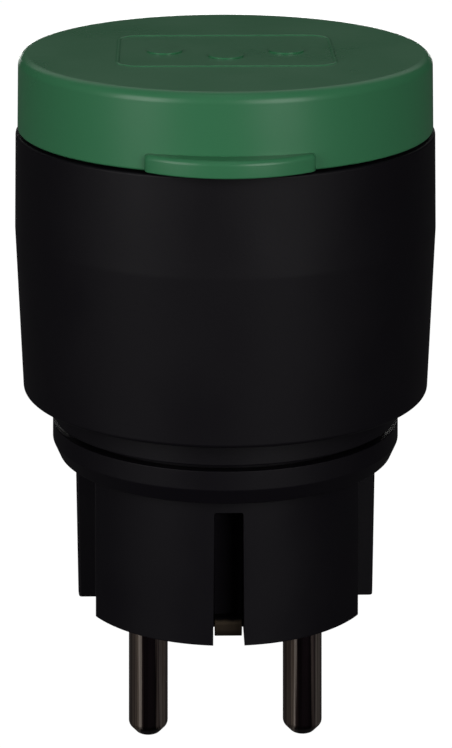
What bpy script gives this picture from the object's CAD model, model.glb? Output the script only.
# %% [markdown]
# An outdoor smart plug, modelled in Blender around its CAD assembly.
#
# The plug stands on its two pins. From below upwards it has a plug body with guide ribs and earth
# slots, a rubber collar, a black casing and a green sprung lid. It could be modelled freely, but then
# nothing would hold its sizes and its joints.

# %% Load the CAD frame
import math

import bmesh
import bpy
from mathutils import Matrix, Vector


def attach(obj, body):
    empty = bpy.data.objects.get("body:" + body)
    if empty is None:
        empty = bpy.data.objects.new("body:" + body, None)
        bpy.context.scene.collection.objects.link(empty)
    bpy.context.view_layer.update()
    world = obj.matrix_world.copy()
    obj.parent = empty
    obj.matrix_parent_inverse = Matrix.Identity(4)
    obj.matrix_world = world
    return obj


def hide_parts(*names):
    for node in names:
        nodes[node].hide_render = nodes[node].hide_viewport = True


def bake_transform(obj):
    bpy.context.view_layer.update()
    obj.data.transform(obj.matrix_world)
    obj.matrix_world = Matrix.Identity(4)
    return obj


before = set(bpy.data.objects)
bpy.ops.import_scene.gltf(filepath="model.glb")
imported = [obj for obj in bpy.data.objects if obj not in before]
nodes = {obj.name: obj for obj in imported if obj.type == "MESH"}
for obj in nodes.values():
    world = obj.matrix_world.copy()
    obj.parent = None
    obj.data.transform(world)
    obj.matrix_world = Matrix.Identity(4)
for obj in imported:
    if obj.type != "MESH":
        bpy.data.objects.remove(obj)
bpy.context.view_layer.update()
MM = 0.001

# %% [markdown]
# Colours could be typed as three decimals, but nobody reads a colour from those. Here they are hex
# values, as a paint chart gives them. The shader works in linear light, so one function turns each
# channel from sRGB to linear.


# %% Colour
def linear(hex_code):
    """A hex colour such as #ffffff as linear RGBA."""
    parts = [int(hex_code[i : i + 2], 16) / 255 for i in (1, 3, 5)]
    return tuple(v / 12.92 if v < 0.04045 else ((v + 0.055) / 1.055) ** 2.4 for v in parts) + (1.0,)


LID_GREEN = "#346e4b"
SOFT_BLACK = "#07050a"
print("lid green in linear light:", [round(v, 3) for v in linear(LID_GREEN)])
print("black in linear light:", [round(v, 4) for v in linear(SOFT_BLACK)])

# %% [markdown]
# A material is a small network of nodes. It could be wired by hand, with several lines for every node.
# One helper does it in one call: it adds a node, sets its own properties and then fills its inputs,
# each with a plain value or with another node's output. So a material reads from top to bottom.


# %% One helper for nodes
def add(tree, kind, inputs=None, **settings):
    """Adds a node. inputs maps a socket to a value or to another node's output socket."""
    node = tree.nodes.new(kind)
    for name, value in settings.items():
        setattr(node, name, value)
    for name, value in (inputs or {}).items():
        if isinstance(value, bpy.types.NodeSocket):
            tree.links.new(value, node.inputs[name])
        else:
            node.inputs[name].default_value = value
    return node


def empty_material(name):
    """A new material without nodes, and its node tree."""
    material = bpy.data.materials.new(name)
    material.use_nodes = True
    material.node_tree.nodes.clear()
    return material, material.node_tree


# %% [markdown]
# The photograph looks down on the plug from the front, and yet its upright edges stay parallel: the
# picture plane was upright, as in a view camera. A level camera with a large lens shift could do this,
# but the shift would spoil every other view. So the camera's matrix is sheared: the plane stays
# upright, the line of sight slopes, and the shift stays at zero. The numbers come from the ellipses of
# the lid, the seam, the casing foot and the plug rim, and from where the tab, the slot and the pins
# stand. They also say that the plug is turned by just under a degree.

# %% Camera numbers
# The names in _px count pixels of the picture. The sensor is in millimetres, and the rest in metres.
PICTURE = (452, 748)
SENSOR = 36
turned = -0.017
axis_distance = 0.367635
camera_height = 0.1366
focal_px = 2978.3
axis_px, foot_px, horizon_px = 225.3057, 206.89, -529.138

right = Vector((math.cos(turned), math.sin(turned), 0))
into = Vector((-math.sin(turned), math.cos(turned), 0))
up = Vector((0, 0, 1))
sideways = (axis_px - foot_px) * axis_distance / focal_px
place = -sideways * right - axis_distance * into + camera_height * up
slope_x = (PICTURE[0] / 2 - foot_px) / focal_px
slope_y = -(PICTURE[1] / 2 - horizon_px) / focal_px
back = -into - slope_x * right - slope_y * up
print("line of sight falls by", round(math.degrees(math.atan(-slope_y)), 1), "degrees")

# %% Camera
sheared = Matrix.Identity(4)
for column, axis in enumerate((right, up, back.normalized(), place)):
    for row in range(3):
        sheared[row][column] = axis[row]

camera = bpy.data.objects.new("camera", bpy.data.cameras.new("camera"))
tripod = bpy.data.objects.new("tripod", None)
for item in (camera, tripod):
    bpy.context.scene.collection.objects.link(item)
# Place, rotation and scale can't hold a shear, but the matrix between a parent and its child can.
camera.parent = tripod
camera.matrix_parent_inverse = sheared
camera.data.sensor_width = SENSOR
camera.data.lens = focal_px / PICTURE[1] * SENSOR * back.length
camera.data.clip_start = 0.01
camera.data.clip_end = 20
bpy.context.scene.camera = camera
bpy.context.scene.view_settings.view_transform = "Standard"
print("camera at", [round(v, 4) for v in place], "lens", round(camera.data.lens, 1))

# %% [markdown]
# The plug stands on white paper that fills the whole background. Pale paint in strong light could do
# it, but that would light the plug from below. So the paper's own colour is dark grey, enough to carry
# the shadow, and it glows white for rays that come from the camera or through glass. A mirrored ray
# sees a fiftieth of that glow, so that the black edges stay as dark as in the photograph.

# %% Floor paper
MIRRORED = 0.02


def straight_rays(tree):
    """1 for a ray from the camera or through glass, MIRRORED for a mirrored one, 0 for the others."""
    path = add(tree, "ShaderNodeLightPath")
    mirror = add(
        tree, "ShaderNodeMath", {0: path.outputs["Is Glossy Ray"], 1: MIRRORED}, operation="MULTIPLY"
    )
    straight = {0: path.outputs["Is Camera Ray"], 1: path.outputs["Is Transmission Ray"]}
    seen = add(tree, "ShaderNodeMath", straight, operation="MAXIMUM")
    either = {0: seen.outputs[0], 1: mirror.outputs[0]}
    return add(tree, "ShaderNodeMath", either, operation="MAXIMUM").outputs[0]


# Uncoated paper scatters light evenly, so it has no gloss at all.
paper, tree = empty_material("white_floor_paper")
matt = add(tree, "ShaderNodeBsdfDiffuse", {"Color": linear("#484848")})
light = add(tree, "ShaderNodeEmission", {"Strength": straight_rays(tree)})
both = add(tree, "ShaderNodeAddShader", {0: matt.outputs[0], 1: light.outputs[0]})
add(tree, "ShaderNodeOutputMaterial", {"Surface": both.outputs[0]})
print("paper nodes:", len(tree.nodes))

# %% Floor
FLOOR_Z = -0.019
FLOOR_R = 6

bm = bmesh.new()
under_pins = Matrix.Translation((0, 0, FLOOR_Z))
bmesh.ops.create_circle(bm, cap_ends=True, segments=96, radius=FLOOR_R, matrix=under_pins)
floor_mesh = bpy.data.meshes.new("floor")
bm.to_mesh(floor_mesh)
bm.free()
floor = bpy.data.objects.new("floor", floor_mesh)
floor_mesh.materials.append(paper)
bpy.context.scene.collection.objects.link(floor)
print("floor at", FLOOR_Z, "m, radius", FLOOR_R, "m")

# %% [markdown]
# Beyond the floor lies an even white world. It could be a picture of a studio, but the plug needs no
# more than a plain one. The world glows as the paper does, and gives scattered light a weak fill, so
# that no shaded side turns fully black.

# %% World
AMBIENT = 0.13

world = bpy.data.worlds.new("studio")
bpy.context.scene.world = world
world.use_nodes = True
tree = world.node_tree
tree.nodes.clear()
diffuse = add(tree, "ShaderNodeLightPath").outputs["Is Diffuse Ray"]
fill = add(tree, "ShaderNodeMath", {0: diffuse, 1: AMBIENT}, operation="MULTIPLY")
level = add(tree, "ShaderNodeMath", {0: fill.outputs[0], 1: straight_rays(tree)}, operation="ADD")
sky = add(tree, "ShaderNodeBackground", {"Color": linear("#ffffff"), "Strength": level.outputs[0]})
add(tree, "ShaderNodeOutputWorld", {"Surface": sky.outputs[0]})
print("ambient fill:", AMBIENT)

# %% [markdown]
# Two upright soft lamps in front draw the two soft upright bands on the casing. A weak one above lights
# the top of the lid, a broad one behind draws the sheen along its far edge, and a low strip behind lets
# the back be seen. Spot lamps or a sun could light the plug too, but their hard edges would show on
# smooth plastic. Area lamps have the soft edge of a softbox, and these are weak enough for a colour to
# render about as it is written.

# %% Lamps
LAMP_WHITE = (1.0, 0.995, 0.985)
LAMP_AIM = Vector((0, 0, 0.03))


def softbox(name, azimuth, height, distance, size, watts):
    """A soft lamp that looks at the middle of the plug. azimuth counts from the front to the right."""
    lamp = bpy.data.lights.new(name, "AREA")
    lamp.shape = "RECTANGLE"
    lamp.size, lamp.size_y = size
    lamp.energy = watts
    lamp.color = LAMP_WHITE
    item = bpy.data.objects.new(name, lamp)
    bpy.context.scene.collection.objects.link(item)
    a = math.radians(azimuth)
    item.location = (distance * math.sin(a), -distance * math.cos(a), height)
    aim = LAMP_AIM - item.location
    item.rotation_euler = aim.to_track_quat("-Z", "Y").to_euler()
    return item


lamps = [
    softbox("left_softbox", -46, 0.24, 0.75, (0.38, 0.56), 3.35),
    softbox("right_softbox", 28, 0.24, 0.75, (0.36, 0.56), 3.35),
    softbox("top_softbox", 0, 0.95, 0.12, (0.50, 0.50), 0.30),
    softbox("back_softbox", 180, 0.90, 0.90, (1.50, 1.00), 2.2),
    softbox("back_strip", 180, 0.02, 0.50, (0.30, 0.07), 0.5),
]
print("lamps in watts:", {item.name: round(item.data.energy, 2) for item in lamps})

# %% [markdown]
# Nearly all that shows is moulded plastic or rubber. A mould is spark-eroded, and its fine pits leave
# a grain that breaks up the gloss. The grain could be a picture laid on the surface, but a picture
# needs an unwrapped mesh and leaves seams. A noise in millimetres needs neither: it drives a bump and
# a slight change of tone, and a slower noise changes the roughness, as handling does.

# %% How moulded plastic and rubber are made
# Handling leaves patches that are about 9 mm wide.
HANDLING = 9


def tones(colour, spread):
    """A darker and a lighter linear colour round a hex colour."""
    base = linear(colour)[:3]
    return [tuple(min(1, v * k) for v in base) + (1.0,) for k in (1 - spread, 1 + spread)]


def moulded(name, colour, roughness, ior, specular, grain, depth, tone=0.1, **more):
    """Moulded material. grain is the spacing of the pits and depth their depth, both in mm."""
    material, tree = empty_material(name)
    here = add(tree, "ShaderNodeTexCoord").outputs["Object"]
    pits = add(
        tree,
        "ShaderNodeTexNoise",
        {"Vector": here, "Scale": 1 / (grain * MM), "Detail": 3.0, "Roughness": 0.6},
    )
    wear = add(tree, "ShaderNodeTexNoise", {"Vector": here, "Scale": 1 / (HANDLING * MM), "Detail": 2.0})
    range_of_wear = {
        "Value": wear.outputs["Fac"],
        "From Min": 0.3,
        "From Max": 0.7,
        "To Min": roughness * 0.9,
        "To Max": roughness * 1.1,
    }
    dull = add(tree, "ShaderNodeMapRange", range_of_wear)
    dark, pale = tones(colour, tone)
    shade = add(tree, "ShaderNodeMixRGB", {"Fac": pits.outputs["Fac"], "Color1": dark, "Color2": pale})
    bump = add(tree, "ShaderNodeBump", {"Height": pits.outputs["Fac"], "Distance": depth * MM})
    surface = add(
        tree,
        "ShaderNodeBsdfPrincipled",
        {
            "Base Color": shade.outputs[0],
            "Roughness": dull.outputs[0],
            "IOR": ior,
            "Specular IOR Level": specular,
            "Normal": bump.outputs[0],
            **more,
        },
    )
    add(tree, "ShaderNodeOutputMaterial", {"Surface": surface.outputs[0]})
    return material


# %% [markdown]
# The pieces in view are pigmented ABS, polyamide and rubber. One shared black could do for three of
# them, but each mould has its own grain, and the eye tells casing, plug and rubber apart by how sharp
# the highlight on each is. So each has its own roughness and depth of grain. The pits also trap a part
# of the mirrored light, which is why the specular level lies below the usual 0.5.

# %% Plastics and rubber in view
# Real pits are about 0.1 mm apart. They are drawn at 0.25 to 0.3 mm, since a pixel covers 0.12 mm.

# ABS with black pigment from a fine spark-eroded mould: deep black, with broad and soft highlights.
casing_abs = moulded("black_moulded_abs", SOFT_BLACK, 0.54, 1.54, 0.17, grain=0.3, depth=0.010)
# Black polyamide from a smoother mould: the same black, with slightly tighter highlights.
plug_abs = moulded("black_plug_polyamide", SOFT_BLACK, 0.50, 1.53, 0.175, grain=0.3, depth=0.008)
# Green ABS from a nearly polished mould: an even colour under a satin gloss that keeps bright edges.
lid_abs = moulded("green_moulded_abs", LID_GREEN, 0.30, 1.54, 0.25, grain=0.3, depth=0.002, tone=0.03)
# Black rubber pressed in a rougher mould: its small steep pits leave the highlight dim and grainy.
collar_rubber = moulded("black_collar_rubber", SOFT_BLACK, 0.52, 1.5, 0.17, grain=0.25, depth=0.012)
# Polycarbonate with a milky filler, moulded smooth: light enters it, so that its face looks pale. Its
# faint flow marks are drawn at 0.6 mm.
guide_clear = moulded(
    "milky_polycarbonate", "#dfe8ea", 0.25, 1.58, 0.5, grain=0.6, depth=0.002, **{"Transmission Weight": 0.55}
)
print("materials so far:", [material.name for material in bpy.data.materials])

# %% [markdown]
# Behind the casing lie gaskets, a shutter and the parts on the boards. They could share one grey, as
# nobody sees them while the plug is shut, but a part from a library gets opened. So each has the
# colour and the surface that its own trade gives it.

# %% Plastics inside
# All these patterns are finer in reality, and are drawn at 0.3 to 0.7 mm to show in a close view.

# Silicone, moulded smooth: dark grey, and dull as an eraser is.
seal_rubber = moulded("grey_seal_silicone", "#2c2c30", 0.6, 1.42, 0.3, grain=0.4, depth=0.010)
# Polyamide without pigment, moulded: cream, with a waxy half-dull face.
shutter_plastic = moulded("cream_shutter_polyamide", "#cbc5b4", 0.5, 1.53, 0.4, grain=0.3, depth=0.008)
# Polyester filled with glass fibre, moulded: near black and half dull.
switch_plastic = moulded("black_switch_plastic", "#303036", 0.5, 1.55, 0.4, grain=0.3, depth=0.008)
# Polyester of the relay's cover, from a smooth mould: blue with a satin gloss.
relay_plastic = moulded("blue_relay_pbt", "#27457a", 0.35, 1.55, 0.5, grain=0.4, depth=0.004)
# Film shrunk on with hot air: dark blue and glossy, with faint waves.
sleeve_film = moulded("dark_blue_shrink_sleeve", "#262b55", 0.3, 1.54, 0.5, grain=0.5, depth=0.004)
# Polyester tape wound round a coil: yellow and glossy, with faint creases.
tape_film = moulded("yellow_polyester_tape", "#cbab3f", 0.3, 1.6, 0.5, grain=0.5, depth=0.004)
# Ceramic with a fired glaze: cream, with the sharp highlight of glass.
fuse_glaze = moulded("glazed_fuse_ceramic", "#d8cfb8", 0.2, 1.6, 0.5, grain=0.6, depth=0.003)
# Epoxy resin that a disc was dipped in: blue, with the small lumps of a coat that ran.
varistor_resin = moulded("blue_dipped_resin", "#275fa8", 0.45, 1.55, 0.4, grain=0.5, depth=0.02)
# Epoxy resin cast in a polished cup: pale, and as shiny as a lens.
led_resin = moulded("clear_led_resin", "#e2ddc6", 0.15, 1.5, 0.5, grain=0.5, depth=0.002)
# Solder mask printed on glass weave and cured: glossy, and the weave shows through as darker spots.
board_green = moulded("green_solder_mask", "#1f5f3c", 0.35, 1.55, 0.5, grain=0.7, depth=0.006, tone=0.2)
board_blue = moulded("blue_solder_mask", "#1a2a4a", 0.35, 1.55, 0.5, grain=0.7, depth=0.006, tone=0.2)
print("materials so far:", len(bpy.data.materials))

# %% [markdown]
# The metals are drawn, stamped or turned, and each way leaves lines along the path of the tool. The
# shader's anisotropy could hint at them, but it draws no line. So the lines are a noise that is
# stretched along one axis, and it moves the colour, the roughness and the bump together.

# %% How drawn and stamped metal is made
# A line is fifty times as long as it is wide, and 0.004 mm deep.
LINE_SHAPE = 0.02
MARK_DEPTH = 0.004


def drawn_metal(name, dark, pale, roughness, line, along):
    """Metal with tool lines. line is their spacing in mm and along the axis that they run along."""
    material, tree = empty_material(name)
    here = add(tree, "ShaderNodeTexCoord").outputs["Object"]
    stretch = [1 / (line * MM)] * 3
    stretch["XYZ".index(along)] *= LINE_SHAPE
    lines = add(tree, "ShaderNodeVectorMath", {0: here, 1: stretch}, operation="MULTIPLY")
    marks = add(tree, "ShaderNodeTexNoise", {"Vector": lines.outputs[0], "Scale": 1.0, "Detail": 4.0})
    ramp = add(tree, "ShaderNodeValToRGB", {"Fac": marks.outputs["Fac"]})
    for stop, at, colour in zip(ramp.color_ramp.elements, (0.35, 0.65), (dark, pale)):
        stop.position, stop.color = at, linear(colour)
    range_of_marks = {
        "Value": marks.outputs["Fac"],
        "From Min": 0.3,
        "From Max": 0.7,
        "To Min": roughness * 1.3,
        "To Max": roughness * 0.8,
    }
    dull = add(tree, "ShaderNodeMapRange", range_of_marks)
    bump = add(tree, "ShaderNodeBump", {"Height": marks.outputs["Fac"], "Distance": MARK_DEPTH * MM})
    surface = add(
        tree,
        "ShaderNodeBsdfPrincipled",
        {
            "Base Color": ramp.outputs["Color"],
            "Metallic": 1.0,
            "Roughness": dull.outputs[0],
            "Normal": bump.outputs[0],
        },
    )
    add(tree, "ShaderNodeOutputMaterial", {"Surface": surface.outputs[0]})
    return material


# %% Metals inside
# Real tool lines are 0.02 to 0.05 mm apart. They are drawn at 0.3 to 0.4 mm to show in a close view.

# Bronze strip, stamped and then plated with nickel: a warm grey with soft lines.
contact_bronze = drawn_metal("nickelled_bronze", "#8b8378", "#c4bbaa", 0.35, line=0.4, along="Z")
# Brass strip, stamped and left bare: yellow, with lines from the roll.
contact_brass = drawn_metal("stamped_brass", "#b08a45", "#dcbc78", 0.3, line=0.4, along="Z")
# Steel wire, drawn through a die: bright and cold, with fine lines along the wire.
spring_steel = drawn_metal("drawn_spring_steel", "#8f9195", "#c9cbce", 0.25, line=0.3, along="X")
# Stainless wire, pressed to a screw: a plain grey, half bright.
screw_steel = drawn_metal("stainless_screw_steel", "#85878b", "#bfc1c4", 0.3, line=0.3, along="Z")
# Sheet steel with a coat of tin: pale and soft, since tin scatters more light than steel does.
shield_tin = drawn_metal("tinned_shield_steel", "#9a9c9e", "#d2d3d4", 0.35, line=0.4, along="X")
print("materials so far:", len(bpy.data.materials))

# %% [markdown]
# The pins and the earth strip are plated with nickel that has gone dark, and sockets have rubbed them
# bright again in some places. These places could be painted by hand on an image. Here a ramp of colours
# does it: on a pin it runs with the direction that the surface faces, so that the streaks follow the
# pin's length, and on the strip it runs with the height, so that the foot is the bright end.

# %% How worn nickel is made
# A streak runs on for about 30 mm along the piece.
STREAK = 30


def worn_nickel(name, output, axis, low, high, wear, grain=0.25, dull=(0.26, 0.42)):
    """Nickel whose colour changes along an axis of the place or of the normal, from low to high."""
    material, tree = empty_material(name)
    place = add(tree, "ShaderNodeTexCoord")
    facing = add(tree, "ShaderNodeSeparateXYZ", {0: place.outputs[output]}).outputs[axis]
    fine = 1 / (grain * MM)
    lines = add(
        tree,
        "ShaderNodeVectorMath",
        {0: place.outputs["Object"], 1: (fine, fine, 1 / (STREAK * MM))},
        operation="MULTIPLY",
    )
    noise = add(tree, "ShaderNodeTexNoise", {"Vector": lines.outputs[0], "Scale": 1.0, "Detail": 3.0})
    marks = noise.outputs["Fac"]
    reach = {"Value": facing, "From Min": low, "From Max": high}
    spread = add(tree, "ShaderNodeMapRange", reach).outputs[0]
    # The noise moves each edge of wear by up to a tenth of the ramp, to either side.
    shift = add(tree, "ShaderNodeMath", {0: marks, 1: 0.2, 2: -0.1}, operation="MULTIPLY_ADD").outputs[0]
    across = add(tree, "ShaderNodeMath", {0: spread, 1: shift}, operation="ADD").outputs[0]
    colours = add(tree, "ShaderNodeValToRGB", {"Fac": across})
    stops = colours.color_ramp.elements
    for stop, (at, colour) in zip(stops, (wear[0], wear[-1])):
        stop.position, stop.color = at, linear(colour)
    for at, colour in wear[1:-1]:
        stops.new(at).color = linear(colour)
    rough = add(tree, "ShaderNodeMapRange", {"Value": marks, "To Min": dull[0], "To Max": dull[1]})
    bump = add(tree, "ShaderNodeBump", {"Height": marks, "Distance": MARK_DEPTH * MM})
    surface = add(
        tree,
        "ShaderNodeBsdfPrincipled",
        {
            "Base Color": colours.outputs["Color"],
            "Metallic": 1.0,
            "Roughness": rough.outputs[0],
            "Normal": bump.outputs[0],
        },
    )
    add(tree, "ShaderNodeOutputMaterial", {"Surface": surface.outputs[0]})
    return material


# %% Worn pins
# Turned brass under nickel: from facing left (0) to facing right (1) it is rubbed pale, then dark, then
# pale again. Polishing lines are 0.05 mm apart in reality, and are drawn at 0.25 mm to show.
rubbed_sides = (
    (0.02, "#94867f"),
    (0.06, "#5f524f"),
    (0.10, "#a39489"),
    (0.15, "#6d5f5b"),
    (0.19, "#b09f90"),
    (0.23, "#77685f"),
    (0.285, "#d9cabf"),
    (0.33, "#4a3d3c"),
    (0.38, "#1d1619"),
    (0.50, "#2a2226"),
    (0.70, "#191316"),
    (0.74, "#83746f"),
    (0.78, "#55484a"),
    (0.83, "#d0c2b8"),
    (0.87, "#77695f"),
    (0.91, "#c6b8ae"),
    (0.97, "#6a5d5b"),
)
pin_nickel = worn_nickel("worn_pin_nickel", "Normal", "X", -1.0, 1.0, rubbed_sides)
print(pin_nickel.name, "has", len(rubbed_sides), "tones")

# %% Worn strip
# Stamped bronze under nickel: dark and dull in the shade of its slot, and rubbed bright at the curl of
# its foot. Its marks are drawn at 0.8 mm, far coarser than real ones, to show in a slot this narrow.
STRIP_LOW, STRIP_HIGH = -1.45, 1.55
rubbed_foot = ((0.0, "#b39a8f"), (0.07, "#4a4038"), (0.64, "#40382e"), (0.72, "#1a181c"))
strip_nickel = worn_nickel(
    "worn_strip_nickel", "Object", "Z", STRIP_LOW * MM, STRIP_HIGH * MM, rubbed_foot, 0.8, (0.6, 0.75)
)
print(strip_nickel.name, "has", len(rubbed_foot), "tones between", STRIP_LOW, "and", STRIP_HIGH, "mm")

# %% [markdown]
# No moulded edge is sharp, and its small radius is what catches the light. A bevel on the finished mesh
# could round the edges, but after a Boolean it often fails. So the radii are real arcs, drawn into each
# section before it becomes a solid.


# %% Arcs and rounded corners, in millimetres
def rounded(corners, steps=5):
    """Corners (a, b) or (a, b, radius) as a path on which each radius is an arc."""
    path = []
    count = len(corners)
    for i, corner in enumerate(corners):
        here = Vector(corner[:2])
        radius = corner[2] if len(corner) > 2 else 0
        if radius == 0:
            path.append(here)
            continue
        a = (Vector(corners[i - 1][:2]) - here).normalized()
        b = (Vector(corners[(i + 1) % count][:2]) - here).normalized()
        half = a.angle(b) / 2
        centre = here + (a + b).normalized() * radius / math.sin(half)
        first = here + a * radius / math.tan(half) - centre
        last = here + b * radius / math.tan(half) - centre
        sweep = first.angle(last)
        for k in range(steps + 1):
            t = k / steps
            turn = (math.sin((1 - t) * sweep) * first + math.sin(t * sweep) * last) / math.sin(sweep)
            path.append(centre + turn)
    return path


def circle(a, b, radius, start=0.0, end=360.0, steps=32):
    """Points of an arc round (a, b). The angles are in degrees."""
    span = [math.radians(start + (end - start) * k / steps) for k in range(steps + (end - start < 360))]
    return [(a + radius * math.cos(t), b + radius * math.sin(t)) for t in span]


# %% [markdown]
# Most of the plug is turned round one axis, as its mould was turned on a lathe. A Screw modifier could
# spin a section, but it leaves doubled points on the axis. So the main tool is a small lathe, which
# spins a closed section and joins the points on the axis. Slabs such as the ears of the hinge are
# extruded, and the edges of both ends are bevelled.


# %% Lathe and prism, in millimetres
def to_object(name, bm):
    """Turns a bmesh in millimetres into a linked object in metres."""
    bmesh.ops.recalc_face_normals(bm, faces=bm.faces)
    bmesh.ops.scale(bm, vec=(MM, MM, MM), verts=bm.verts)
    mesh = bpy.data.meshes.new(name)
    bm.to_mesh(mesh)
    bm.free()
    item = bpy.data.objects.new(name, mesh)
    bpy.context.scene.collection.objects.link(item)
    return item


# The tools work round Z. These matrices lay that axis along Y, along X, or along Y towards the front.
ALONG_Y = Matrix(((1, 0, 0, 0), (0, 0, 1, 0), (0, -1, 0, 0), (0, 0, 0, 1)))
ALONG_X = Matrix(((0, 0, 1, 0), (1, 0, 0, 0), (0, 1, 0, 0), (0, 0, 0, 1)))
TO_FRONT = Matrix(((1, 0, 0, 0), (0, 0, -1, 0), (0, 1, 0, 0), (0, 0, 0, 1)))


def lathe(name, corners, at=(0, 0, 0), lay=None, steps=256):
    """Spins a closed section of (radius, height) corners round its axis."""
    bm = bmesh.new()
    rings = []
    for r, z in rounded(corners):
        turns = [0.0] if r < 1e-6 else [2 * math.pi * k / steps for k in range(steps)]
        rings.append([bm.verts.new((r * math.cos(t), r * math.sin(t), z)) for t in turns])
    for a, b in zip(rings, rings[1:] + rings[:1]):
        if len(a) == 1 and len(b) == 1:
            continue
        for k in range(steps):
            j = (k + 1) % steps
            quad = [a[k % len(a)], a[j % len(a)], b[j % len(b)], b[k % len(b)]]
            bm.faces.new(list(dict.fromkeys(quad)))
    bm.transform(Matrix.Translation(at) @ (lay or Matrix.Identity(4)))
    return to_object(name, bm)


def prism(name, outline, low, high, lay=None, edge=0.0):
    """Extrudes an outline from low to high and rounds the edges of both ends."""
    bm = bmesh.new()
    ends = [bm.faces.new([bm.verts.new((p[0], p[1], z)) for p in outline]) for z in (low, high)]
    count = len(outline)
    for k in range(count):
        j = (k + 1) % count
        a, b = ends[0].verts[:], ends[1].verts[:]
        bm.faces.new((a[k], a[j], b[j], b[k]))
    if edge:
        rims = {e for face in ends for e in face.edges}
        bmesh.ops.bevel(bm, geom=list(rims), offset=edge, segments=3, profile=0.5, affect="EDGES")
    bm.transform(lay or Matrix.Identity(4))
    return to_object(name, bm)


# %% [markdown]
# Holes and joined forms could be woven into the mesh by hand, point by point. The exact Boolean
# modifier does it without that work and keeps the mesh closed. A finished piece is then dressed: smooth
# shading that stops at sharp angles, its material, the CAD body that it rides on and the CAD nodes that
# it stands for.


# %% Joining, cutting and dressing
def shape(base, *tools):
    """Joins or cuts a base with (operation, object) pairs, in turn, and removes the tools."""
    for operation, tool in tools:
        step = base.modifiers.new(tool.name, "BOOLEAN")
        step.operation, step.solver, step.object = operation, "EXACT", tool
        depsgraph = bpy.context.evaluated_depsgraph_get()
        made = bpy.data.meshes.new_from_object(base.evaluated_get(depsgraph))
        base.modifiers.clear()
        base.data = made
        bpy.data.objects.remove(tool)
    return base


def dress(item, material, body, *stands_for, slot=None, sharp=32):
    """Smooths a finished piece, gives it its material, its CAD body and the nodes it stands for."""
    mesh = item.data
    mesh.materials.clear()
    mesh.materials.append(material)
    mesh.shade_smooth()
    mesh.set_sharp_from_angle(angle=math.radians(sharp))
    flatten = item.modifiers.new("flat_faces", "WEIGHTED_NORMAL")
    flatten.keep_sharp = True
    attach(item, body)
    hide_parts(*stands_for)
    size = [round(v / MM, 2) for v in item.dimensions]
    print(f"{item.name}: {len(mesh.polygons)} faces, {size} mm")
    return item


# %% [markdown]
# The casing is one black moulding. It widens from its foot up to a crease at two thirds of its height
# and runs nearly straight above it. It could be a cylinder pulled into shape, but the crease is a bend
# of three degrees only. On the lathe it is one corner with a large radius, and it stays as soft as the
# real one.

# %% Casing on the lathe
FOOT_Z, CREASE_Z, RIM_Z = 24.0, 43.8, 55.5
casing = lathe(
    "casing_shell",
    [
        (22.83, FOOT_Z),
        (24.83, FOOT_Z, 0.5),
        (25.9, CREASE_Z, 9.0),
        (25.85, RIM_Z, 0.3),
        (23.85, RIM_Z, 0.2),
        (23.85, 53.1),
        (22.35, 53.1),
        (22.35, 51.6),
        (23.65, 49.7),
        (23.65, 44.7),
        (22.83, 26.8),
        (23.18, 25.7),
        (23.18, 25.4),
        (22.83, 24.9),
    ],
)
print("casing heights:", FOOT_Z, CREASE_Z, RIM_Z, "mm")

# %% [markdown]
# At the back of the casing a round bezel holds the button, and two ears carry the hinge pin of the lid.
# They could stay separate pieces that only touch the casing, but the real ones come out of its mould.
# So they are joined to it, after the hole for the button is cut and before the hinge pin's.

# %% Bezel and hinge ears
BUTTON_Z, BUTTON_HOLE_R, BEZEL_R = 31.9, 4.87, 6.07
HINGE_Y, HINGE_Z, HINGE_PIN_R = 28.45, 57.0, 1.04
EAR_R, EAR_WIDTH, EARS_X = 2.39, 3.3, (-11.5, 8.2)

hole_section = [(0, 19), (BUTTON_HOLE_R, 19), (BUTTON_HOLE_R, 28), (0, 28)]
button_hole = lathe("bore", hole_section, (0, 0, BUTTON_Z), ALONG_Y, 96)
bezel_section = [(BUTTON_HOLE_R, 20), (BEZEL_R, 20), (BEZEL_R, 25.9, 0.45), (BUTTON_HOLE_R, 25.9, 0.2)]
bezel = lathe("bezel", bezel_section, (0, 0, BUTTON_Z), ALONG_Y, 96)
ear_side = (
    [(22.6, 48.0), (25.45, 48.0)]
    + circle(HINGE_Y, HINGE_Z, EAR_R, -25, 180, 28)
    + [(26.06, RIM_Z), (22.6, RIM_Z)]
)
ears = [prism("ear", ear_side, low, low + EAR_WIDTH, ALONG_X, 0.35) for low in EARS_X]


def hinge_bore():
    """The hole for the hinge pin, through every ear and knuckle."""
    return prism("pin_bore", circle(HINGE_Y, HINGE_Z, HINGE_PIN_R), -15, 15, ALONG_X)


ear_bore = hinge_bore()
joined = [("UNION", item) for item in (bezel, *ears)]
shape(casing, ("DIFFERENCE", button_hole), *joined, ("DIFFERENCE", ear_bore))
dress(casing, casing_abs, "casing", "main_shell", slot="casing_plastic")

# %% [markdown]
# Under the casing the base cover steps in to a short neck. It closes the casing from below, and a notch
# in its rim makes room for the bezel. It could be part of the casing, but on the real plug it is a
# moulding of its own, and a thin gap between the two shows. So it is a second turned form, and the gap
# is real.

# %% Base cover
base = lathe(
    "base_cup",
    [
        (14.4, 20.8),
        (21.25, 20.8, 0.2),
        (21.25, FOOT_Z),
        (22.68, FOOT_Z, 0.1),
        (22.68, 24.2),
        (22.26, 24.2),
        (22.26, 24.8),
        (22.68, 24.8),
        (22.68, 25.0),
        (23.03, 25.4),
        (22.68, 26.6, 0.2),
        (20.48, 26.6, 0.2),
        (20.48, 24.3),
        (19.25, 23.1),
        (19.25, 22.8),
        (14.4, 22.8),
    ],
)
notch_sides = [(-BEZEL_R, 10), (BEZEL_R, 10), (BEZEL_R, 26), (-BEZEL_R, 26)]
notch = prism("notch", notch_sides, FOOT_Z, 27)
shape(base, ("DIFFERENCE", notch))
dress(base, casing_abs, "casing", "base_cover", slot="casing_plastic")

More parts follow.
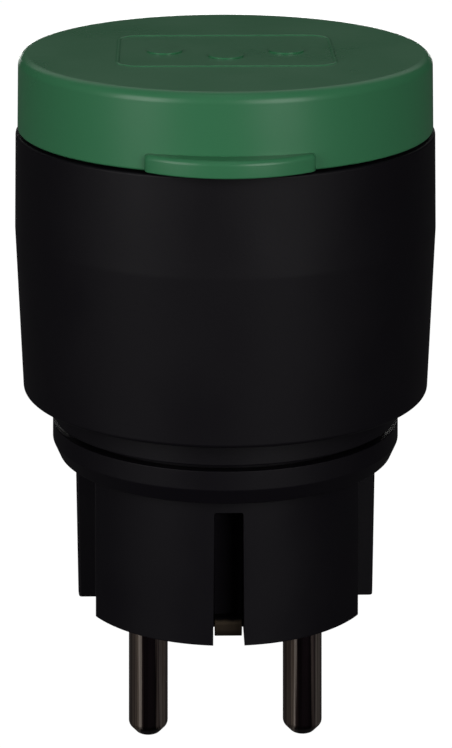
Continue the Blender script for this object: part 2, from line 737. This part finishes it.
# %% [markdown]
# The collar is a rubber ring between the neck and the plug. It tapers downwards and seals against the
# wall socket. A torus could stand for it, but the real ring has a flat top, a groove above it and a
# straight taper. The lathe gives all three in one section.

# %% Collar
collar = lathe(
    "collar_ring",
    [
        (17.02, 16.14),
        (20.4, 16.14, 0.25),
        (21.25, 17.96, 0.5),
        (21.25, 20.2, 0.08),
        (19.4, 20.0),
        (19.4, 20.8),
        (17.02, 20.8),
    ],
)
dress(collar, collar_rubber, "casing", "seal_collar", slot="collar_rubber")

# %% [markdown]
# The plug body is a round post with a flat on either side, and a guide rib stands on each flat. A
# cylinder with slabs cut off and ribs added could give the outline, but not the draft of the mould. So
# it is lofted from one outline at several heights: the outline grows upwards with the draft, and the
# lowest ones shrink round the rim.

# %% Plug body, lofted
RIM_PLUG_Z, SHOULDER_Z = -1.35, 16.14
RIM_PLUG_R, SHOULDER_R = 18.12, 18.46
FLAT_X, RIB_HALF = 15.8, 2.5
RIM_ROUND = 0.15


def plug_outline(grow, radius):
    """The outline of the plug, grown by grow, as a loop from the right rib, counterclockwise."""
    r, flat, rib = radius + grow, FLAT_X + grow, RIB_HALF + grow
    tip = math.degrees(math.asin(rib / r))
    corner = math.degrees(math.acos(flat / r))
    quarter = circle(0, 0, r, tip / 4, tip, 3)
    quarter[-1] = (*quarter[-1], 0.3)
    quarter.append((flat, rib, 0.25))
    # The arc ends short of 90 degrees, so that its mirror image doesn't repeat its last point.
    side = circle(0, 0, r, corner, 88, 30)
    side[0] = (*side[0], 0.3)
    quarter += side
    loop = []
    for sx, sy, order in ((1, 1, 1), (-1, 1, -1), (-1, -1, 1), (1, -1, -1)):
        loop += [(p[0] * sx, p[1] * sy, *p[2:]) for p in quarter[::order]]
    return rounded(loop, 3)


def loft(name, levels):
    """Joins outlines of equal length, each (height, points), into a closed body."""
    bm = bmesh.new()
    loops = [[bm.verts.new((p[0], p[1], z)) for p in points] for z, points in levels]
    for a, b in zip(loops, loops[1:]):
        for k in range(len(a)):
            j = (k + 1) % len(a)
            bm.faces.new((a[k], a[j], b[j], b[k]))
    bm.faces.new(loops[0])
    bm.faces.new(loops[-1])
    return to_object(name, bm)


plug_levels = []
for k in range(5):
    t = math.radians(90 * k / 4)
    height = RIM_PLUG_Z + RIM_ROUND * (1 - math.cos(t))
    plug_levels.append((height, plug_outline(-RIM_ROUND * (1 - math.sin(t)), RIM_PLUG_R)))
plug_levels.append((SHOULDER_Z, plug_outline(0, SHOULDER_R)))
plug = loft("plug_shell", plug_levels)
print("plug outline:", len(plug_levels[0][1]), "points at", len(plug_levels), "heights")

# %% [markdown]
# The face of the plug is recessed round the pins. An earth slot opens at the front and one at the back,
# each through a lining, and a window leads each end of the earth strip inside. These forms could be
# modelled as loops in the mesh, but they cross the curved wall at odd places. So they are cut, and the
# order matters: the linings are added first, because a slot has to pass through its lining.

# %% Plug body, cut
PIN_X = 9.5
RECESS_R = 16.62
SLOT_HALF_LOW, SLOT_HALF_HIGH, SLOT_TOP = 1.84, 1.72, 14.4
SLOT_BACK, SLOT_FRONT = 12.2, 20

recess = circle(0, 0, RECESS_R, 30.7, 149.3, 40) + circle(0, 0, RECESS_R, 210.7, 329.3, 40)
cuts = [("DIFFERENCE", prism("recess", recess, -3, 0))]
for y in (11, -11):
    lining = [(-2.9, y), (2.9, y), (2.9, y * 1.5), (-2.9, y * 1.5)]
    cuts.append(("UNION", prism("lining", lining, RIM_PLUG_Z, 1)))
mouth = [
    (-SLOT_HALF_LOW, -2.2),
    (SLOT_HALF_LOW, -2.2),
    (SLOT_HALF_HIGH, SLOT_TOP, 0.3),
    (-SLOT_HALF_HIGH, SLOT_TOP, 0.3),
]
pin_hole = [(0, -2), (2.42, -2), (2.42, 0.4), (2.22, 0.4), (2.22, 4), (0, 4)]
for side in (1, -1):
    slot_reach = sorted((side * SLOT_BACK, side * SLOT_FRONT))
    slot_tool = prism("slot", rounded(mouth), *slot_reach, TO_FRONT)
    opening = [(-1.6, side * 9), (1.6, side * 9), (1.6, side * 13), (-1.6, side * 13)]
    window = prism("window", opening, 12.8, 13.8)
    hole = lathe("hole", pin_hole, (side * PIN_X, 0, 0), steps=64)
    cuts += [("DIFFERENCE", tool) for tool in (slot_tool, window, hole)]
hollow_section = [(0, 2), (10.9, 2), (10.9, 14.5), (13.6, 14.5), (13.6, 18), (0, 18)]
hollow = lathe("hollow", hollow_section, steps=96)
neck = lathe("neck", [(13.6, 15), (17.0, 15), (17.0, 20.8), (13.6, 20.8)], steps=128)
shape(plug, *cuts, ("DIFFERENCE", hollow), ("UNION", neck))
dress(plug, plug_abs, "casing", "plug_body", slot="casing_plastic")

# %% [markdown]
# The pins are turned from brass and end in a dome. A cylinder and half a sphere could make one, but the
# real end is flatter than half a sphere. On the lathe, two corners with a radius of 0.9 mm give that
# dome. Inside the face follow a neck, a flange and a short stub for the rivet, just as in the CAD.

# %% Pins
PIN_R, PIN_TIP_Z = 2.4, -19.0
pin_section = [
    (0, PIN_TIP_Z),
    (1.3, -18.86, 0.9),
    (PIN_R, -17.75, 0.9),
    (PIN_R, 0),
    (2.2, 0),
    (2.2, 2),
    (3.5, 2),
    (3.5, 3.2),
    (1.5, 3.2),
    (1.5, 4.8),
    (0, 4.8),
]
for name, node, x in (
    ("live_pin_turned", "live_pin", -PIN_X),
    ("neutral_pin_turned", "neutral_pin", PIN_X),
):
    pin = lathe(name, pin_section, (x, 0, 0), steps=96)
    dress(pin, pin_nickel, "casing", node, slot="pin_metal")

# %% [markdown]
# The earth contact is one bent strip of bronze that runs across the inside of the plug. Each end comes
# down behind the slot, steps forward to a short foot near the face and curls in under it. A curve with
# a flat profile could draw it, but it thins in tight bends. So the strip is offset by half its
# thickness to either side of its path and then extruded, which keeps its thickness even.

# %% Earth strip
STRIP_THICK, STRIP_WIDTH = 0.7, 3.24


def ribbon(name, path, thick, width):
    """A strip of even thickness along a path of (y, z) points, width wide across x."""
    sides = ([], [])
    for i, point in enumerate(path):
        here = Vector(point)
        before = here - Vector(path[max(i - 1, 0)])
        after = Vector(path[min(i + 1, len(path) - 1)]) - here
        along = (before.normalized() + after.normalized()).normalized()
        across = Vector((-along.y, along.x)) * thick / 2
        sides[0].append(here + across)
        sides[1].append(here - across)
    return prism(name, sides[0] + sides[1][::-1], -width / 2, width / 2, ALONG_X, 0.08)


curl = circle(14.26, -0.4, 0.8, 300, 359.9, 5)
shoulder = circle(14.66, 0.07, 0.4, 0, 90, 5) + circle(13.75, 0.87, 0.4, 180, 270, 5)[::-1]
upper_bend = circle(11.85, 11.8, 1.5, 0, 90, 8)
half_strip = curl + shoulder + [(13.35, 10.9)] + upper_bend
strip_path = [(-y, z) for y, z in half_strip] + half_strip[::-1]
strip = ribbon("earth_strip", strip_path, STRIP_THICK, STRIP_WIDTH)
dress(strip, strip_nickel, "casing", "plug_earth_contact", slot="earth_metal")

# %% [markdown]
# The lid is the green cover. Its flat top meets its wall in a rounded edge, and inside it has two ribs
# that hold the gasket. A cylinder with a bevel could pass for it from outside, but it opens, and then
# its inside is seen. So the whole section is spun, ribs and all. It gets more steps than the casing,
# since its rim is the largest curve in the picture.

# %% Lid cover
SEAM_Z, LID_Z = 55.8, 65.05
lid = lathe(
    "lid_cover",
    [
        (0, LID_Z),
        (25.55, LID_Z, 1.3),
        (25.61, SEAM_Z, 0.25),
        (23.61, SEAM_Z, 0.3),
        (23.61, 63.05, 0.8),
        (22.32, 63.05, 0.3),
        (22.32, 58.6, 0.2),
        (21.52, 58.6, 0.2),
        (21.52, 60.4),
        (19.08, 60.4),
        (19.08, 58.6, 0.2),
        (18.28, 58.6, 0.2),
        (18.28, 63.05, 0.3),
        (0, 63.05),
    ],
    steps=320,
)
print("lid from", SEAM_Z, "to", LID_Z, "mm")

# %% [markdown]
# A thumb tab stands out in front of the lid. From above it is a lens with rounded ends that run into
# the lid. A scaled cylinder could give the lens, but not its ends and its even edge. So the tab is
# lofted from one outline that shrinks towards its lower and its upper edge: that rounds the lower edge
# a little and the upper one more, as on the real tab.

# %% Thumb tab
TAB_HALF, TAB_FRONT, TAB_TOP, TAB_R = 9.9, 28.11, 57.85, 15.58
TAB_END_R, TAB_ROOT_Y = 1.2, -22.5


def tab_outline(grow):
    """The tab from above, grown by grow: an arc in front and rounded ends that run into the lid."""
    r, half, centre = TAB_R + grow, TAB_HALF + grow, TAB_R - TAB_FRONT
    reach = math.degrees(math.asin(half / r))
    end = centre - math.sqrt(r * r - half * half)
    front = circle(0, centre, r, 274 - reach, 266 + reach, 48)
    corner = TAB_END_R + grow
    near_end, far_end = (-half, end, corner), (half, end, corner)
    return rounded([(-half, TAB_ROOT_Y), near_end, *front, far_end, (half, TAB_ROOT_Y)], 8)


tab_levels = []
for radius, z, inwards, angles in (
    (0.2, SEAM_Z, 1, (90, 60, 30, 0)),
    (0.6, TAB_TOP, -1, (0, 15, 30, 45, 60, 75, 90)),
):
    for t in map(math.radians, angles):
        height = z + inwards * radius * (1 - math.sin(t))
        tab_levels.append((height, tab_outline(-radius * (1 - math.cos(t)))))
tab = loft("tab", tab_levels)
print("tab outline:", len(tab_levels[0][1]), "points at", len(tab_levels), "heights")

# %% [markdown]
# At the back, two knuckles of the lid turn on the hinge pin, between the ears of the casing. They could
# be plain cylinders, but a real knuckle is moulded on the wall and runs into it, so its side is drawn
# as an outline and extruded. Tab and knuckles then become one mesh with the lid, because they come out
# of one mould.

# %% Knuckles of the lid
KNUCKLE_R, KNUCKLE_WIDTH, KNUCKLES_X = 2.19, 3.5, (-8.0, 4.5)
wall_side = [(25.21, SEAM_Z), (23.6, SEAM_Z), (23.6, 61.4), (25.41, 61.4)]
knuckle_side = wall_side + circle(HINGE_Y, HINGE_Z, KNUCKLE_R, 65, -140, 26)
knuckles = [prism("knuckle", knuckle_side, low, low + KNUCKLE_WIDTH, ALONG_X, 0.3) for low in KNUCKLES_X]
knuckle_bore = hinge_bore()
shape(lid, *[("UNION", item) for item in (tab, *knuckles)], ("DIFFERENCE", knuckle_bore))
dress(lid, lid_abs, "lid", "lid", slot="lid_plastic")

# %% [markdown]
# The top of the lid bears a plain raised frame with rounded corners and three drops in it. A bump in
# the material could hint at it, but it would look flat from the side. So the line is real: a round
# bead, half sunk in the surface, which leaves the soft ridge that a round cutter's groove in a mould
# gives. The drops are low slabs with rounded edges.

# %% Raised frame on the lid
BEAD_R, BEAD_SUNK = 0.29, 0.16
DROP_R, DROP_LENGTH = 2.2, 4.2


def bead(name, path, radius, closed=True, steps=5):
    """A round line along a path, as a mesh. Path and radius are in millimetres."""
    curve = bpy.data.curves.new(name, "CURVE")
    curve.dimensions, curve.bevel_depth, curve.bevel_resolution = "3D", radius * MM, steps
    curve.use_fill_caps = True
    spline = curve.splines.new("POLY")
    spline.points.add(len(path) - 1)
    for point, p in zip(spline.points, path):
        point.co = (p[0] * MM, p[1] * MM, p[2] * MM, 1)
    spline.use_cyclic_u = closed
    holder = bpy.data.objects.new(name + "_line", curve)
    bpy.context.scene.collection.objects.link(holder)
    depsgraph = bpy.context.evaluated_depsgraph_get()
    mesh = bpy.data.meshes.new_from_object(holder.evaluated_get(depsgraph))
    bpy.data.objects.remove(holder)
    item = bpy.data.objects.new(name, mesh)
    bpy.context.scene.collection.objects.link(item)
    return item


frame_corners = [(-13.2, -9.7, 2.7), (13.2, -9.7, 2.7), (13.2, 9.7, 2.7), (-13.2, 9.7, 2.7)]
frame_path = [(x, y, LID_Z - BEAD_SUNK) for x, y in rounded(frame_corners, 10)]
frame_line = bead("lid_raised_frame", frame_path, BEAD_R)
for x, y in ((-7.5, -0.4), (0.0, -3.4), (7.5, -0.4)):
    tip = [(x + 0.12, y + DROP_LENGTH), (x - 0.12, y + DROP_LENGTH)]
    drop = circle(x, y, DROP_R, 150, 390, 32) + tip
    shape(frame_line, ("UNION", prism("drop", drop, LID_Z - 0.3, LID_Z + 0.2, edge=0.15)))
dress(frame_line, lid_abs, "lid", "lid", slot="lid_plastic", sharp=50)

# %% [markdown]
# The gasket is a soft ring between the two ribs of the lid. Pressed on the lip of the well, it keeps
# the rain out. It could be a plain ring, but a real one has two low humps with a dip between them, so
# that two lines seal instead of one. The section with its four radii is spun like the rest.

# %% Gasket of the lid
gasket = lathe(
    "lid_gasket_ring",
    [
        (19.1, 60.4),
        (19.1, 57.85, 0.5),
        (20.1, 57.85, 0.4),
        (20.3, 58.2),
        (20.5, 57.85, 0.4),
        (21.5, 57.85, 0.5),
        (21.5, 60.4),
    ],
)
dress(gasket, seal_rubber, "lid", "lid_gasket", slot="seal_rubber")

# %% [markdown]
# The spring that shuts the lid is a torsion spring: seven turns of wire round the hinge pin, one leg on
# the casing and one on the lid. It could be a stack of rings, but then it would have no legs and could
# not wind up.

# %% Lid spring
COIL_HALF, COIL_R, TURNS, PER_TURN, WIRE_R = 3.95, 1.75, 7, 28, 0.3
coil = []
for i in range(TURNS * PER_TURN + 1):
    t = math.radians(180 - 360 * i / PER_TURN)
    x = COIL_HALF * (2 * i / (TURNS * PER_TURN) - 1)
    coil.append((x, HINGE_Y + COIL_R * math.cos(t), HINGE_Z + COIL_R * math.sin(t)))
casing_leg = [(-COIL_HALF, 25.947, 49.0), (-COIL_HALF, 26.65, 56.0)]
lid_leg = [(COIL_HALF, 26.65, 58.0), (COIL_HALF, 25.70, 61.8)]
spring = bead("lid_torsion_spring", casing_leg + coil + lid_leg, WIRE_R, closed=False, steps=4)
spring.data.materials.append(spring_steel)
spring.data.shade_smooth()
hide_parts("lid_spring")
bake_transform(spring)
print("spring points:", len(coil))

# %% [markdown]
# The button behind is a round cap with a shallow dish for the finger tip, and a small raised dot in the
# middle that a finger can feel. The dish could be pressed in with a sphere, but the dot would need a
# second step. On the lathe both are a few corners of one section, which is then laid along Y.

# %% Button
button = lathe(
    "button_dished",
    [
        (0, 18.6),
        (2.0, 18.6, 0.2),
        (2.0, 21.0),
        (4.0, 21.0),
        (4.0, 26.9, 0.5),
        (3.1, 26.82, 1.0),
        (1.6, 26.5, 1.0),
        (0.62, 26.46, 0.1),
        (0.5, 26.62, 0.15),
        (0, 26.64),
    ],
    (0, 0, BUTTON_Z),
    ALONG_Y,
    128,
)
dress(button, casing_abs, "button", "button_cap", slot="casing_plastic")

# %% [markdown]
# The other CAD nodes keep their own shape: the inner contacts, seals, boards and springs, and the milky
# ring round the button. They could be remodelled too, but their CAD solids already have the right
# forms. So they only get materials, each named after what the part is made of, with its own grain or
# tool lines.

# %% Materials of the CAD nodes
finishes = {
    contact_bronze: ["socket_earth_clip", "earth_link"],
    contact_brass: ["live_sleeve", "neutral_sleeve", "live_strap", "neutral_strap", "load_strap"],
    spring_steel: ["shutter_spring", "shutter_clip", "hinge_pin"],
    screw_steel: ["plug_screws", "insert_screws", "board_screws"],
    casing_abs: ["socket_insert"],
    seal_rubber: ["insert_seal", "base_gasket", "button_seal"],
    shutter_plastic: ["shutter", "switch_plunger"],
    guide_clear: ["light_guide"],
    led_resin: ["status_led"],
    switch_plastic: ["switch_body"],
    board_green: ["control_board", "power_board"],
    board_blue: ["radio_module"],
    shield_tin: ["radio_shield"],
    relay_plastic: ["power_relay"],
    sleeve_film: ["supply_capacitor"],
    tape_film: ["supply_transformer"],
    fuse_glaze: ["line_fuse"],
    varistor_resin: ["surge_varistor"],
}
replaced = {name for name, item in nodes.items() if item.hide_render}
finishes[casing_abs] += sorted(replaced)
finished = set()
for material, names in finishes.items():
    for name in names:
        nodes[name].data.materials.clear()
        nodes[name].data.materials.append(material)
        finished.add(name)
print("CAD nodes shown:", len(finished - replaced), "replaced:", len(replaced))
print("left over:", sorted(set(nodes) - finished))
